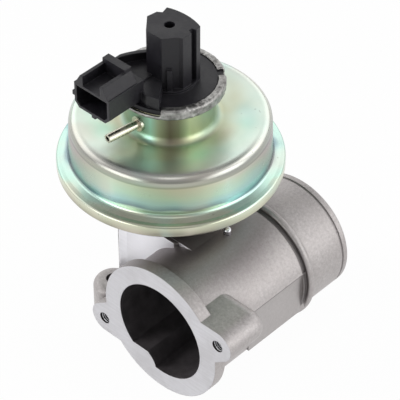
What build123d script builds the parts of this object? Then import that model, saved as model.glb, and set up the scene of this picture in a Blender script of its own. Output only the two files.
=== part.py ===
"""Vacuum-operated exhaust gas recirculation valve with a position sensor.

Units are millimetres. The origin is the centre of the intake bore at the face of
the intake flange. +Y runs along the intake bore to the hose spigot, +Z is the
direction in which the valve lifts, and +X completes the frame.
"""
from build123d import *
from math import cos, hypot, radians, sin, sqrt
import os

# Intake tube
bore_r = 25.0
body_r = 30.5
collar_r = 32.0
collar_y = 67.6
collar_width = 3.4
spigot_r = 30.0
spigot_end_y = 97.2
relief_width = 2.6
relief_depth = 1.2
clamp_groove_y = 92.2
clamp_groove_width = 1.4
clamp_groove_depth = 0.6

# Intake flange
flange_r = 34.3
flange_thickness = 6.6
flange_bolt_radius = 38.7
flange_bolt_angle = 23.0
flange_tap_r = 3.0
ear_r = 7.9
ear_under_angle = 37.0
ear_boss_length = 18.0
ear_boss_round = 6.0

# Flat on the right of the body, cut into it above and standing out as a pad below
side_pad_x = 28.5
side_pad_top = 9.2
side_pad_bottom = -14.0
side_pad_start = 29.0

# Valve axis and the square pedestal round it
valve_x = 2.0 - body_r
valve_y = 38.2
pedestal_half_x = 16.8
pedestal_half_y = 14.8
pedestal_round = 2.0
seat_plate_lip = 0.5
seat_plate_height = 10.3
seat_plate_front = 12.6
seat_plate_reach = -valve_x
actuator_face_z = body_r - 0.2

# Exhaust flange under the pedestal
exhaust_face_z = -35.0
exhaust_plate_thickness = 8.0
exhaust_bolt_radius = 27.9
exhaust_bolt_angle = 48.5
exhaust_tap_r = 3.4
exhaust_lug_r = 9.5
exhaust_hub_r = 18.0
exhaust_lug_top = -9.0
exhaust_lug_round = 4.0
lug_web_x = -6.5
lug_web_y = -7.8
lug_web_r = 7.0
exhaust_bolt_depth = 14.0

# Cast rib in the floor of the bore, over the blind bolt hole
rib_height = 6.9
rib_width = 14.5
rib_flat = 9.4
rib_left_x = -17.3
rib_end_y = 70.0

# Dowel in the crown of the tube beside the seat plate
locating_pin_r = 1.8
locating_pin_depth = 4.0
locating_pin_height = 3.0
locating_pin_y = 45.2

# Gas passages
exhaust_bore_r = 12.0
seat_shoulder_z = -19.0
chamber_r = 11.0
chamber_roof_z = 19.0

# Valve seat, poppet and stem
seat_height = 5.0
seat_bore_r = 8.3
seat_bevel = 1.6
seat_gap = 0.2
poppet_rim = 1.4
poppet_hub_r = 5.0
poppet_hub_z = -10.0
stem_r = 3.2
stem_end_r = 2.5
valve_travel = 7.0

# Stem guide and seal
guide_r = 5.5
guide_bottom_z = 13.0
running_gap = 0.05
fit_gap = 0.03
shield_r = 9.0
shield_depth = 6.0
shield_thickness = 0.8
seal_r = 8.0
seal_height = 4.0
retainer_thickness = 0.9
retainer_hole_r = 4.2

# Actuator shells
gasket_thickness = 1.0
gasket_r = 14.5
gasket_hole_r = 9.0
sheet = 1.2
cup_floor_r = 18.0
rim_r = 51.6
cup_height = 30.7
rim_bottom_z = actuator_face_z + cup_height
rim_height = 6.2
rim_return = 2.8
rim_clear = 0.8
cup_shoulder_r = rim_r - 8.0
cup_shoulder_z = rim_bottom_z - 4.5
wall_foot_r = rim_r - 5.7
wall_top_r = wall_foot_r - 0.6
cover_height = 28.9
roof_z = rim_bottom_z + cover_height
roof_dish = 1.9
roof_round = 4.5
neck_r = 20.0
neck_height = 15.6
neck_top_z = roof_z + neck_height
neck_foot_round = 2.6
neck_flange_r = neck_r + 3.6
breather_r = 2.0
breather_radius = cup_shoulder_r - 10.6

# Actuator fixing screws, inside the lower shell
screw_count = 3
screw_radius = 12.2
screw_r = 2.5
screw_hole_r = 2.75
screw_head_r = 4.2
screw_head_height = 3.6
screw_length = 9.0
screw_socket_r = 2.0

# Diaphragm, piston and spring
diaphragm_thickness = 1.6
piston_r = wall_foot_r - 9.9
piston_floor_z = rim_bottom_z - 2.2
piston_wall_top = piston_floor_z + 9.7
convolution_top = piston_wall_top + 0.9
convolution_r = wall_foot_r - 3.7
stem_hole_r = 2.6
plate_r = piston_r - 2.0
nut_flats = 10.0
nut_height = 5.0
stem_tip_z = piston_floor_z + 7.2
spring_r = piston_r - 9.0
spring_wire_r = 1.5
spring_turns = 4.5

# Vacuum pipe
pipe_rise = 5.3
pipe_z = roof_z + pipe_rise
pipe_offset = 2.6
pipe_turn = -8.0
pipe_r = 2.0
pipe_bore_r = 1.25
pipe_foot_r = 1.6
pipe_reach = neck_r + 17.0
pipe_washer_r = 3.6
pipe_washer_thickness = 1.0
pipe_hole_gap = 0.05

# Crimp ring that holds the sensor on the neck
crimp_r = neck_flange_r + 1.1
crimp_lip_r = crimp_r - 3.5
crimp_wall = 1.0
crimp_gap_start = 192.0
crimp_gap_end = 304.0
crimp_slot_start = 46.0
crimp_slot_end = 57.0

# Sensor housing
sensor_flange_r = crimp_r - 1.3
sensor_flange_height = 2.3
sensor_base_z = neck_top_z + sheet
sensor_top_z = sensor_base_z + 2.7
sensor_spigot_r = neck_r - sheet - 0.6
sensor_spigot_z = neck_top_z - 6.5
skirt_r = 12.1
skirt_rise = 1.2
tower_height = 31.3
tower_top_z = sensor_base_z + tower_height
tower_front = 9.7
tower_half = 11.0
tower_back = 10.0
tower_hole_r = 2.4
tower_hole_depth = 5.0
post_x = 7.0
post_y = -7.6
post_size = 2.2
post_rise = 12.0
cavity_r = 5.3
cavity_top_z = tower_top_z - 10.0
deck_z = sensor_base_z + 8.9
shroud_z = deck_z + 4.0
shroud_wall = 1.4
block_drop = 0.6
seal_wire_r = 1.15
seal_groove_rise = 4.4
seal_groove_half = 1.4

# Connector
conn_x = -7.5
conn_width = 21.0
conn_bottom_z = sensor_base_z + 1.1
conn_height = 13.0
conn_chamfer = 2.6
conn_front = 40.4
conn_back = 19.5
conn_wall = 1.3
conn_depth = 14.0
nub_depth = 2.0
nub_width = 2.2
nub_rise = 1.3
latch_half = 6.8
latch_rise = 5.2
latch_rail = 1.6
latch_length = 13.7
latch_bar = 3.8
latch_bar_rise = 1.9
key_inset = 3.0
key_width = 1.4
key_height = 1.8
pin_width = 1.5
pin_drop = 3.3
pin_thickness = 0.8
pin_pitch = 4.6
pin_length = 15.0
pin_count = 3

# Position pick-up inside the tower
plunger_r = 2.2
plunger_hole_r = 2.26
plunger_head_r = 5.1
plunger_head_z = sensor_spigot_z + 5.0
plunger_head_height = 7.0
plunger_tip_gap = 0.2
pickup_spring_r = 3.4
pickup_wire_r = 0.45
pickup_turns = 6.0
floor_thickness = 2.5
board_width = 8.0
board_thickness = 1.2
board_y = 5.4
board_height = 20.0
board_slot_gap = 0.8
board_middle_z = sensor_spigot_z + floor_thickness + board_height / 2 + 0.5
wiper_flat = 3.4
wiper_width = 3.0
wiper_half = 2.4
wiper_bow = 1.4
wiper_foot = 0.4

os.makedirs("parts", exist_ok=True)


# Helpers

def front_plane(y):
    """Plane across the intake bore at y, drawn in X and Z."""
    return Plane(origin=(0, y, 0), x_dir=(1, 0, 0), z_dir=(0, -1, 0))


def along_y(sketch, y0, y1):
    """Extrude an X-Z sketch from y0 to y1."""
    return extrude(front_plane(y1) * sketch, y1 - y0)


def rod_y(radius, y0, y1, x=0.0, z=0.0):
    return along_y(Pos(x, z) * Circle(radius), y0, y1)


def rod_z(radius, z0, z1, x=0.0, y=0.0):
    return Pos(x, y, z0) * extrude(Circle(radius), z1 - z0)


def up(sketch, z0, z1):
    """Extrude an X-Y sketch from z0 to z1."""
    return Pos(0, 0, z0) * extrude(sketch, z1 - z0)


def on_axis(shape):
    """Move a shape made about the origin to the valve axis."""
    return Pos(valve_x, valve_y, 0) * shape


def turned(points):
    """Solid of revolution about Z from a closed outline in radius and height."""
    outline = make_face(Polyline(*points, close=True))
    return revolve(Plane.XZ * outline, Axis.Z)


def polar(radius, angle):
    return (radius * cos(radians(angle)), radius * sin(radians(angle)))


def offset_points(points, thickness, side):
    """Points of the parallel path at a distance, side is 1 for left and -1 for right."""
    result = []
    count = len(points)
    for i, (x, y) in enumerate(points):
        normals = []
        for a, b in ((i - 1, i), (i, i + 1)):
            if a < 0 or b >= count:
                continue
            dx = points[b][0] - points[a][0]
            dy = points[b][1] - points[a][1]
            length = hypot(dx, dy)
            normals.append((-dy / length * side, dx / length * side))
        nx = sum(n[0] for n in normals)
        ny = sum(n[1] for n in normals)
        scale = thickness * len(normals) / (nx * nx + ny * ny)
        if len(normals) == 2:
            scale = 2 * thickness / (nx * nx + ny * ny)
        result.append((x + nx * scale, y + ny * scale))
    return result


def pressed(points, radii, thickness, side):
    """Solid of revolution of a bent sheet: a path in radius and height, its bend radii and its thickness."""
    other = offset_points(points, thickness, side)
    other_radii = []
    for i, radius in enumerate(radii):
        ax, ay = points[i]
        bx, by = points[i + 1]
        cx, cy = points[i + 2]
        turn = (bx - ax) * (cy - by) - (by - ay) * (cx - bx)
        left = 1 if turn > 0 else -1
        other_radii.append(radius - left * side * thickness)
    first = FilletPolyline(*points, radius=list(radii))
    second = FilletPolyline(*other, radius=other_radii)
    ends = [Line(points[0], other[0]), Line(points[-1], other[-1])]
    outline = make_face(first.edges() + second.edges() + ends)
    return revolve(Plane.XZ * outline, Axis.Z)


def ring(outer, inner, z0, z1):
    return rod_z(outer, z0, z1) - rod_z(inner, z0 - 1, z1 + 1)


def coil(radius, wire_r, z0, z1, turns):
    """Open coil spring whose wire just meets the planes z0 and z1."""
    height = z1 - z0 - 2 * wire_r
    path = Pos(0, 0, z0 + wire_r) * Helix(pitch=height / turns, height=height, radius=radius)
    start = Plane(origin=path @ 0, z_dir=path % 0)
    return sweep(start * Circle(wire_r), path=path, is_frenet=True)


# Cast housing

ear_x, ear_z = polar(flange_bolt_radius, flange_bolt_angle)
lug_x, lug_y = polar(exhaust_bolt_radius, exhaust_bolt_angle)


def ear_sketch():
    """One bolt ear of the intake flange: level on top, sloping neck underneath."""
    slope = radians(ear_under_angle)
    under = (ear_x + ear_r * sin(slope), ear_z - ear_r * cos(slope))
    root = 2 * ear_r
    inner = (under[0] - root * cos(slope), under[1] - root * sin(slope))
    top = ear_z + ear_r
    web = make_face(Polyline((ear_x, top), (ear_x - root, top), inner, under, (ear_x, ear_z), close=True))
    return web + Pos(ear_x, ear_z) * Circle(ear_r)


def bore_sketch():
    """Intake bore with the cast rib standing in its floor."""
    top = -bore_r + rib_height
    right = rib_left_x + rib_width
    bend = rib_left_x + rib_flat
    below = -body_r
    lines = [
        Line((rib_left_x, below), (rib_left_x, top)),
        Line((rib_left_x, top), (bend, top)),
        ThreePointArc((bend, top), ((2 * right + bend) / 3, top - rib_height * 0.45), (right, top - rib_height)),
        Line((right, top - rib_height), (right, below)),
        Line((right, below), (rib_left_x, below)),
    ]
    return Circle(bore_r) - make_face(lines)


def tube_solid():
    """Outside of the intake tube, turned about the bore: body, collar and hose spigot."""
    root = 2.6
    lip = 1.2
    collar_end = collar_y + collar_width
    relief = collar_y - relief_width
    relief_r = body_r - relief_depth
    groove_end = clamp_groove_y + clamp_groove_width
    groove_r = spigot_r - clamp_groove_depth
    slope = clamp_groove_depth / 2
    blend = collar_r - body_r
    outline = [
        Line((0, 0), (body_r + root, 0)),
        Line((body_r + root, 0), (body_r + root, flange_thickness)),
        ThreePointArc((body_r + root, flange_thickness),
                      (body_r + root * (1 - sqrt(0.5)), flange_thickness + root * (1 - sqrt(0.5))),
                      (body_r, flange_thickness + root)),
        Line((body_r, flange_thickness + root), (body_r, relief)),
        Line((body_r, relief), (relief_r, relief + relief_depth / 3)),
        Line((relief_r, relief + relief_depth / 3), (relief_r, collar_y)),
        Line((relief_r, collar_y), (collar_r - blend, collar_y)),
        ThreePointArc((collar_r - blend, collar_y),
                      (collar_r - blend * (1 - sqrt(0.5)), collar_y + blend * (1 - sqrt(0.5))),
                      (collar_r, collar_y + blend)),
        Line((collar_r, collar_y + blend), (collar_r, collar_end - lip)),
        ThreePointArc((collar_r, collar_end - lip),
                      (collar_r - lip * (1 - sqrt(0.5)), collar_end - lip * (1 - sqrt(0.5))),
                      (collar_r - lip, collar_end)),
        Line((collar_r - lip, collar_end), (spigot_r, collar_end)),
        Line((spigot_r, collar_end), (spigot_r, clamp_groove_y)),
        Line((spigot_r, clamp_groove_y), (groove_r, clamp_groove_y + slope)),
        Line((groove_r, clamp_groove_y + slope), (groove_r, groove_end - slope)),
        Line((groove_r, groove_end - slope), (spigot_r, groove_end)),
        Line((spigot_r, groove_end), (spigot_r, spigot_end_y - lip)),
        Line((spigot_r, spigot_end_y - lip), (spigot_r - lip, spigot_end_y)),
        Line((spigot_r - lip, spigot_end_y), (0, spigot_end_y)),
        Line((0, spigot_end_y), (0, 0)),
    ]
    return revolve(make_face(outline), Axis.Y)


def ear_boss():
    """Rounded boss behind the right ear, as deep as the bolt thread needs."""
    boss = along_y(ear_sketch(), flange_thickness / 2, flange_thickness + ear_boss_length)
    back = boss.faces().sort_by(Axis.Y)[-1]
    return fillet(back.edges(), ear_boss_round)


def pedestal_solid():
    """Square column from the exhaust flange to the actuator, with the wider seat plate on top."""
    column = up(RectangleRounded(2 * pedestal_half_x, 2 * pedestal_half_y, pedestal_round),
                exhaust_face_z, actuator_face_z)
    lip_half = pedestal_half_x + seat_plate_lip
    plate_width = lip_half + seat_plate_reach
    plate = up(Pos(plate_width / 2 - lip_half, 0) * Rectangle(plate_width, 2 * seat_plate_front),
               actuator_face_z - seat_plate_height, actuator_face_z)
    return on_axis(column + plate)


def exhaust_flange_solid():
    """Two-bolt flange in line with the valve, with the tall lug on the left."""
    near = Pos(-lug_x, -lug_y) * Circle(exhaust_lug_r - 1)
    far = Pos(lug_x, lug_y) * Circle(exhaust_lug_r - 1)
    hub = Circle(exhaust_hub_r)
    plate = up(make_hull((near + hub + far).edges()), exhaust_face_z, exhaust_face_z + exhaust_plate_thickness)
    corner = Pos(lug_web_x, lug_web_y) * Circle(lug_web_r)
    tall = Pos(-lug_x, -lug_y) * Circle(exhaust_lug_r)
    lug = up(make_hull((tall + corner).edges()), exhaust_face_z + exhaust_plate_thickness / 2, exhaust_lug_top)
    lug = fillet(lug.faces().sort_by(Axis.Z)[-1].edges(), exhaust_lug_round)
    boss_top = -bore_r + rib_height - 0.5
    boss = rod_z(exhaust_lug_r - 1, exhaust_face_z, boss_top, lug_x, lug_y)
    return on_axis(plate + lug + boss)


def housing():
    disc = rod_y(flange_r, 0, flange_thickness)
    right_ear = along_y(ear_sketch(), 0, flange_thickness)
    left_ear = Rot(0, 180, 0) * right_ear
    pad = Pos(side_pad_x / 2, (side_pad_start + collar_y) / 2, (side_pad_top + side_pad_bottom) / 2) * Box(
        side_pad_x, collar_y - side_pad_start, side_pad_top - side_pad_bottom)
    flat_depth = body_r - side_pad_x
    flat_length = collar_y - relief_width - side_pad_start
    flat = Pos(side_pad_x + flat_depth, side_pad_start + flat_length / 2, (side_pad_top + side_pad_bottom) / 2) * Box(
        2 * flat_depth, flat_length, side_pad_top - side_pad_bottom)
    body = disc + right_ear + left_ear + (tube_solid() - flat) + ear_boss() + pad
    body += pedestal_solid() + exhaust_flange_solid()

    bore = along_y(bore_sketch(), -1, rib_end_y) + rod_y(bore_r, rib_end_y, spigot_end_y + 1)
    body -= bore
    body -= on_axis(rod_z(exhaust_bore_r, exhaust_face_z - 1, seat_shoulder_z))
    body -= on_axis(rod_z(chamber_r, seat_shoulder_z, chamber_roof_z))
    body -= on_axis(rod_z(guide_r + fit_gap, chamber_roof_z, actuator_face_z))
    seal_floor = actuator_face_z - seal_height - retainer_thickness
    body -= on_axis(rod_z(seal_r, seal_floor, actuator_face_z + 1))
    for i in range(screw_count):
        x, y = polar(screw_radius, 90 + i * 360 / screw_count)
        body -= on_axis(rod_z(screw_r + fit_gap, actuator_face_z - screw_length, actuator_face_z + 1, x, y))
    for sign in (1, -1):
        body -= rod_y(flange_tap_r, -1, flange_thickness + ear_boss_length * 0.7, sign * ear_x, sign * ear_z)
    body -= on_axis(rod_z(exhaust_tap_r, exhaust_face_z - 1, exhaust_lug_top + 1, -lug_x, -lug_y))
    body -= on_axis(rod_z(exhaust_tap_r, exhaust_face_z - 1, exhaust_face_z + exhaust_bolt_depth, lug_x, lug_y))
    body -= rod_z(locating_pin_r + fit_gap, body_r - locating_pin_depth, body_r + 2 * locating_pin_height,
                  0, locating_pin_y)
    return body


# Parts on the valve axis

def locating_pin():
    """Short dowel with a domed head."""
    pin = rod_z(locating_pin_r, body_r - locating_pin_depth, body_r + locating_pin_height, 0, locating_pin_y)
    return fillet(pin.edges().sort_by(Axis.Z)[-1], 1.2)


def seat_ring():
    top = seat_shoulder_z
    outer = exhaust_bore_r - fit_gap
    return on_axis(turned([
        (seat_bore_r, top - seat_height), (outer, top - seat_height), (outer, top),
        (seat_bore_r + seat_bevel, top), (seat_bore_r, top - seat_bevel)]))


def poppet():
    shift = seat_gap * sqrt(2)
    low = seat_shoulder_z - seat_bevel + 0.2
    low_r = seat_bore_r + 0.2 - shift
    high_r = seat_bore_r + seat_bevel
    high = low + (high_r - low_r)
    hole = stem_end_r + fit_gap
    return on_axis(turned([
        (hole, low), (low_r, low), (high_r, high), (high_r, high + poppet_rim),
        (poppet_hub_r, high + 3 * poppet_rim), (poppet_hub_r, poppet_hub_z), (hole, poppet_hub_z)]))


def valve_stem():
    foot = seat_shoulder_z - seat_bevel + 0.2
    support_z = piston_floor_z - diaphragm_thickness - sheet
    return on_axis(turned([
        (0, foot - 1.6), (stem_end_r + 1, foot - 1.2), (stem_end_r + 1, foot - fit_gap), (stem_end_r, foot - fit_gap),
        (stem_end_r, poppet_hub_z + fit_gap), (stem_r, poppet_hub_z + fit_gap), (stem_r, support_z),
        (stem_end_r, support_z), (stem_end_r, stem_tip_z), (0, stem_tip_z)]))


def guide_bush():
    top = actuator_face_z - seal_height - retainer_thickness
    return on_axis(ring(guide_r, stem_r + running_gap, guide_bottom_z, top))


def deposit_shield():
    """Pressed cup on the lower end of the guide that keeps soot off the stem."""
    roof = chamber_roof_z
    hole = guide_r + fit_gap
    return on_axis(turned([
        (hole, roof - shield_thickness), (shield_r - shield_thickness, roof - shield_thickness),
        (shield_r - shield_thickness, roof - shield_depth), (shield_r, roof - shield_depth),
        (shield_r, roof), (hole, roof)]))


def stem_seal():
    floor = actuator_face_z - seal_height - retainer_thickness
    lip = stem_r + running_gap
    return on_axis(turned([
        (lip, floor), (seal_r - fit_gap, floor), (seal_r - fit_gap, floor + seal_height),
        (lip + 1.6, floor + seal_height), (lip + 1.6, floor + 1.6), (lip + 0.8, floor + 1.6),
        (lip + 0.4, floor + 2.6), (lip, floor + 2.6)]))


def seal_retainer():
    return on_axis(ring(seal_r - fit_gap, retainer_hole_r, actuator_face_z - retainer_thickness, actuator_face_z))


def screw_places():
    return [polar(screw_radius, 90 + i * 360 / screw_count) for i in range(screw_count)]


def actuator_gasket():
    z = actuator_face_z
    gasket = ring(gasket_r, gasket_hole_r, z, z + gasket_thickness)
    for x, y in screw_places():
        gasket -= rod_z(screw_hole_r, z - 1, z + gasket_thickness + 1, x, y)
    return on_axis(gasket)


def lower_shell():
    """Pressed lower cup of the actuator: floor on the pedestal, cone, and flange inside the crimp."""
    floor = actuator_face_z + gasket_thickness
    flange = rim_bottom_z + sheet
    edge = rim_r - sheet - rim_clear
    path = [(stem_r + 2.6, floor), (cup_floor_r, floor), (cup_shoulder_r, cup_shoulder_z),
            (cup_shoulder_r + 1.6, flange), (edge, flange)]
    shell = pressed(path, [4.0, 5.0, 1.4], sheet, 1)
    for x, y in screw_places():
        shell -= rod_z(screw_hole_r, floor - 1, floor + sheet + 1, x, y)
    for angle in (60, 180, 300):
        x, y = polar(breather_radius, angle)
        shell -= rod_z(breather_r, floor, rim_bottom_z, x, y)
    return on_axis(shell)


def actuator_screws():
    head_z = actuator_face_z + gasket_thickness + sheet
    screws = []
    for x, y in screw_places():
        screw = rod_z(screw_r, actuator_face_z - screw_length + 1, head_z, x, y)
        screw += rod_z(screw_head_r, head_z, head_z + screw_head_height, x, y)
        socket = up(Pos(x, y) * RegularPolygon(screw_socket_r, 6), head_z + screw_head_height / 2,
                    head_z + screw_head_height + 1)
        screws.append(on_axis(screw - socket))
    return Compound(children=screws)


def neck_wall_hole():
    """Cutter for the hole that the vacuum pipe's foot goes through."""
    return vacuum_pipe_axis(rod_z(pipe_foot_r + pipe_hole_gap, 0, 2 * neck_r))


def upper_shell():
    """Pressed upper cup: sensor neck, roof, wall, and the rim curled under the lower cup."""
    rim_top = rim_bottom_z + rim_height
    path = [(neck_flange_r, neck_top_z), (neck_r, neck_top_z), (neck_r, roof_z - roof_dish),
            (wall_top_r, roof_z), (wall_foot_r, rim_top), (rim_r, rim_top), (rim_r, rim_bottom_z),
            (rim_r - rim_return, rim_bottom_z)]
    shell = pressed(path, [1.5, neck_foot_round, roof_round, 1.5, 2.0, 1.6], sheet, -1)
    return on_axis(shell - neck_wall_hole())


def diaphragm():
    low = piston_floor_z - diaphragm_thickness
    bead_low = rim_bottom_z + 2 * sheet
    bead_high = rim_bottom_z + rim_height - sheet
    edge = rim_r - sheet - rim_clear
    web = bead_low + 0.5
    side = piston_r + diaphragm_thickness + 0.1
    path = [(stem_hole_r, low), (side, low), (side, convolution_top), (convolution_r, convolution_top),
            (convolution_r, web), (edge - 1, web)]
    membrane = pressed(path, [2.6, 1.6, 1.6, 2.0], diaphragm_thickness, 1)
    return on_axis(membrane + ring(edge, wall_foot_r + 0.6, bead_low, bead_high))


def diaphragm_piston():
    path = [(stem_hole_r, piston_floor_z), (piston_r, piston_floor_z), (piston_r, piston_wall_top)]
    return on_axis(pressed(path, [3.0], sheet, 1))


def support_plate():
    top = piston_floor_z - diaphragm_thickness
    path = [(stem_hole_r, top - sheet), (plate_r - 2, top - sheet), (plate_r, top - sheet - 1.5)]
    return on_axis(pressed(path, [1.6], sheet, 1))


def stem_nut():
    floor = piston_floor_z + sheet
    blank = up(RegularPolygon(nut_flats / 2, 6, major_radius=False), floor, floor + nut_height)
    return on_axis(blank - rod_z(stem_end_r + running_gap, floor - 1, floor + nut_height + 1))


def return_spring():
    roof = roof_z - roof_dish * 0.7 - sheet
    return on_axis(coil(spring_r, spring_wire_r, piston_floor_z + sheet, roof - 0.3, spring_turns))


# Vacuum pipe

def vacuum_pipe_axis(shape):
    """Lay a shape made along +Z from the valve axis along the vacuum pipe."""
    laid = Rot(90, 0, 0) * shape
    placed = Rot(0, 0, pipe_turn) * laid
    return Pos(pipe_offset, 0, pipe_z) * placed


def vacuum_pipe():
    inside = neck_r - sheet - 1
    pipe = rod_z(pipe_r, neck_r + pipe_washer_thickness, pipe_reach)
    pipe += rod_z(pipe_foot_r, inside, neck_r + pipe_washer_thickness)
    pipe -= rod_z(pipe_bore_r, inside - 1, pipe_reach + 1)
    return on_axis(vacuum_pipe_axis(pipe))


def pipe_washer():
    """Brazing collar against the neck, hollowed to the neck's curve."""
    start = neck_r - 1
    blank = rod_z(pipe_washer_r, start, neck_r + pipe_washer_thickness)
    blank -= rod_z(pipe_foot_r + pipe_hole_gap, start - 1, neck_r + pipe_washer_thickness + 1)
    placed = vacuum_pipe_axis(blank)
    return on_axis(placed - rod_z(neck_r + fit_gap, pipe_z - neck_r, pipe_z + neck_r))


# Sensor

def wedge(start, end):
    """Sector about the axis, well past the crimp ring, between two angles."""
    span = 2 * crimp_r
    return make_face(Polyline((0, 0), polar(span, start), polar(span, (start + end) / 2), polar(span, end),
                              close=True))


def crimp_ring():
    """Rolled ring that grips the neck flange and the sensor flange, open towards the connector."""
    low = neck_top_z - crimp_wall
    top = sensor_base_z + sensor_flange_height
    grip = turned([
        (neck_r + 1.8, low), (crimp_r - 0.8, low), (crimp_r, low + 0.8), (crimp_r, top + crimp_wall - 0.8),
        (crimp_r - 0.8, top + crimp_wall), (crimp_lip_r, top + crimp_wall), (crimp_lip_r, top),
        (crimp_r - crimp_wall, top), (crimp_r - crimp_wall, neck_top_z), (neck_r + 1.8, neck_top_z)])
    gap = wedge(crimp_gap_start, crimp_gap_end) + wedge(crimp_slot_start, crimp_slot_end)
    return on_axis(grip - up(gap, sensor_base_z, top + 2 * crimp_wall))


def tower_sketch():
    half, front = tower_half, tower_front
    start = (half - 0.6, 8.2)
    end = (-7.2, 9.0)
    edges = Polyline(end, (-9.4, 8.2), (-8.3, 4.4), (-half + 0.6, 3.0), (-half - 0.2, -2.2), (-4.6, -front),
                     (4.6, -front), (9.3, -3.9), (half, -3.2), (half, 1.9), (half - 2.2, 2.6), (half - 2.2, 4.6),
                     (half, 5.2), start)
    back = ThreePointArc(start, (1.6, tower_back), end)
    return make_face(edges.edges() + back.edges())


def deck_sketch():
    """Raised floor between the tower and the connector."""
    left = conn_x - conn_width / 2
    edges = [
        Line((left, -conn_back - 1), (-1.4, -conn_back - 1)),
        Line((-1.4, -conn_back - 1), (-1.4, 0)),
        Line((-1.4, 0), (-tower_half + 1, 0)),
        Line((-tower_half + 1, 0), (-tower_half - 0.4, -1.6)),
        ThreePointArc((-tower_half - 0.4, -1.6), (left + 3.0, -6.4), (left, 7.0 - conn_back)),
        Line((left, 7.0 - conn_back), (left, -conn_back - 1)),
    ]
    return make_face(edges)


def block_sketch():
    """Solid corner between the connector, the tower and the gap in the crimp ring."""
    outer = sensor_flange_r - 1.1
    return make_face(Polyline((-1.4, -conn_back - 1), polar(outer, -74), polar(outer + 0.7, -58),
                              (tower_half / 2 - 0.9, -tower_front), (-tower_half / 2, -tower_front), close=True))


def latch_sketch():
    """Section of the latch housing on top of the socket, with sloping sides."""
    top = conn_bottom_z + conn_height
    low = conn_width / 2 - 0.4
    return make_face(Polyline((-low, top - 0.5), (low, top - 0.5), (latch_half, top + latch_rise),
                              (-latch_half, top + latch_rise), close=True))


def connector_solid():
    """Three-way socket with latch rails and bar, made facing -Y about its own centre."""
    half = conn_width / 2
    top = conn_bottom_z + conn_height
    middle = (conn_bottom_z + top) / 2
    section = Pos(0, middle) * Rectangle(conn_width, conn_height)
    section = chamfer(section.vertices().group_by(Axis.Y)[0], conn_chamfer)
    body = along_y(section, -conn_front, -conn_back)
    bar_start = -conn_front + latch_length
    rails = along_y(latch_sketch(), -conn_front, bar_start + latch_bar)
    trough = Pos(0, -conn_front + latch_length / 2, top + latch_rise) * Box(
        2 * (latch_half - latch_rail), latch_length, 2 * latch_rise)
    bar = Pos(0, bar_start + latch_bar / 2, top + (latch_rise + latch_bar_rise) / 2) * Box(
        2 * latch_half, latch_bar, latch_rise + latch_bar_rise)
    body = body + (rails - trough) + bar
    cavity = Pos(0, middle) * Rectangle(conn_width - 2 * conn_wall, conn_height - 2 * conn_wall)
    cavity = chamfer(cavity.vertices().group_by(Axis.Y)[0], conn_chamfer - 0.7)
    body -= along_y(cavity, -conn_front - 1, -conn_front + conn_depth)
    for side in (-1, 1):
        x = side * (half - conn_wall - key_inset)
        body += Pos(x, -conn_front + conn_depth / 2 + 1, top - conn_wall - key_height / 2) * Box(
            key_width, conn_depth - 2, key_height)
    nub_y = -conn_front + nub_depth / 2
    body += Pos(-half, nub_y, middle) * Box(2 * nub_rise, nub_depth, nub_width)
    body += Pos(0.7, nub_y, conn_bottom_z + conn_wall / 2 - nub_rise / 2) * Box(
        nub_width, nub_depth, conn_wall + nub_rise)
    for i in range(pin_count):
        x = (i - (pin_count - 1) / 2) * pin_pitch
        body -= pin_blade(x, fit_gap)
    return Pos(conn_x, 0, 0) * body


def pin_blade(x, gap):
    level = conn_bottom_z + conn_height - pin_drop
    back = -conn_front + conn_depth + 4
    return Pos(x, back - pin_length / 2, level) * Box(
        pin_width + 2 * gap, pin_length + 2 * gap, pin_thickness + 2 * gap)


def connector_pins():
    pins = []
    for i in range(pin_count):
        x = (i - (pin_count - 1) / 2) * pin_pitch
        pins.append(on_axis(pin_blade(conn_x + x, 0)))
    return Compound(children=pins)


def sensor_housing():
    base = sensor_base_z
    body = rod_z(sensor_flange_r, base, base + sensor_flange_height)
    body += rod_z(crimp_lip_r - 0.3, base, sensor_top_z)
    body += rod_z(skirt_r, base, sensor_top_z + skirt_rise)
    body += rod_z(sensor_spigot_r, sensor_spigot_z, base)
    body += up(tower_sketch(), base, tower_top_z)
    body += up(Pos(post_x, post_y) * Rectangle(post_size, post_size, rotation=45), base, sensor_top_z + post_rise)
    body += up(deck_sketch(), conn_bottom_z, deck_z)
    body += up(deck_sketch() & Circle(sensor_flange_r - 0.6), base, conn_bottom_z)
    body += up(block_sketch(), base, deck_z - block_drop)
    shroud = deck_sketch() - Pos(shroud_wall, -shroud_wall) * deck_sketch()
    body += up(shroud, deck_z - 1, shroud_z)
    body += connector_solid()
    body -= rod_z(tower_hole_r, tower_top_z - tower_hole_depth, tower_top_z + 1)
    body -= rod_z(cavity_r, sensor_spigot_z + floor_thickness, cavity_top_z)
    body -= rod_z(plunger_hole_r, sensor_spigot_z - 1, sensor_spigot_z + floor_thickness + 1)
    board_slot = Box(board_width + 0.2, board_thickness + 2 * board_slot_gap, board_height + 0.2)
    body -= Pos(0, board_y + board_thickness / 2 - board_slot_gap + 0.1, board_middle_z) * board_slot
    groove_z = sensor_spigot_z + seal_groove_rise
    groove_floor = neck_r - sheet - 2 * seal_wire_r - 0.1
    body -= ring(sensor_spigot_r + 1, groove_floor, groove_z - seal_groove_half, groove_z + seal_groove_half)
    return on_axis(body)


def sensor_seal():
    middle = neck_r - sheet - running_gap - seal_wire_r
    return on_axis(Pos(0, 0, sensor_spigot_z + seal_groove_rise) * Torus(middle, seal_wire_r))


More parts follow.
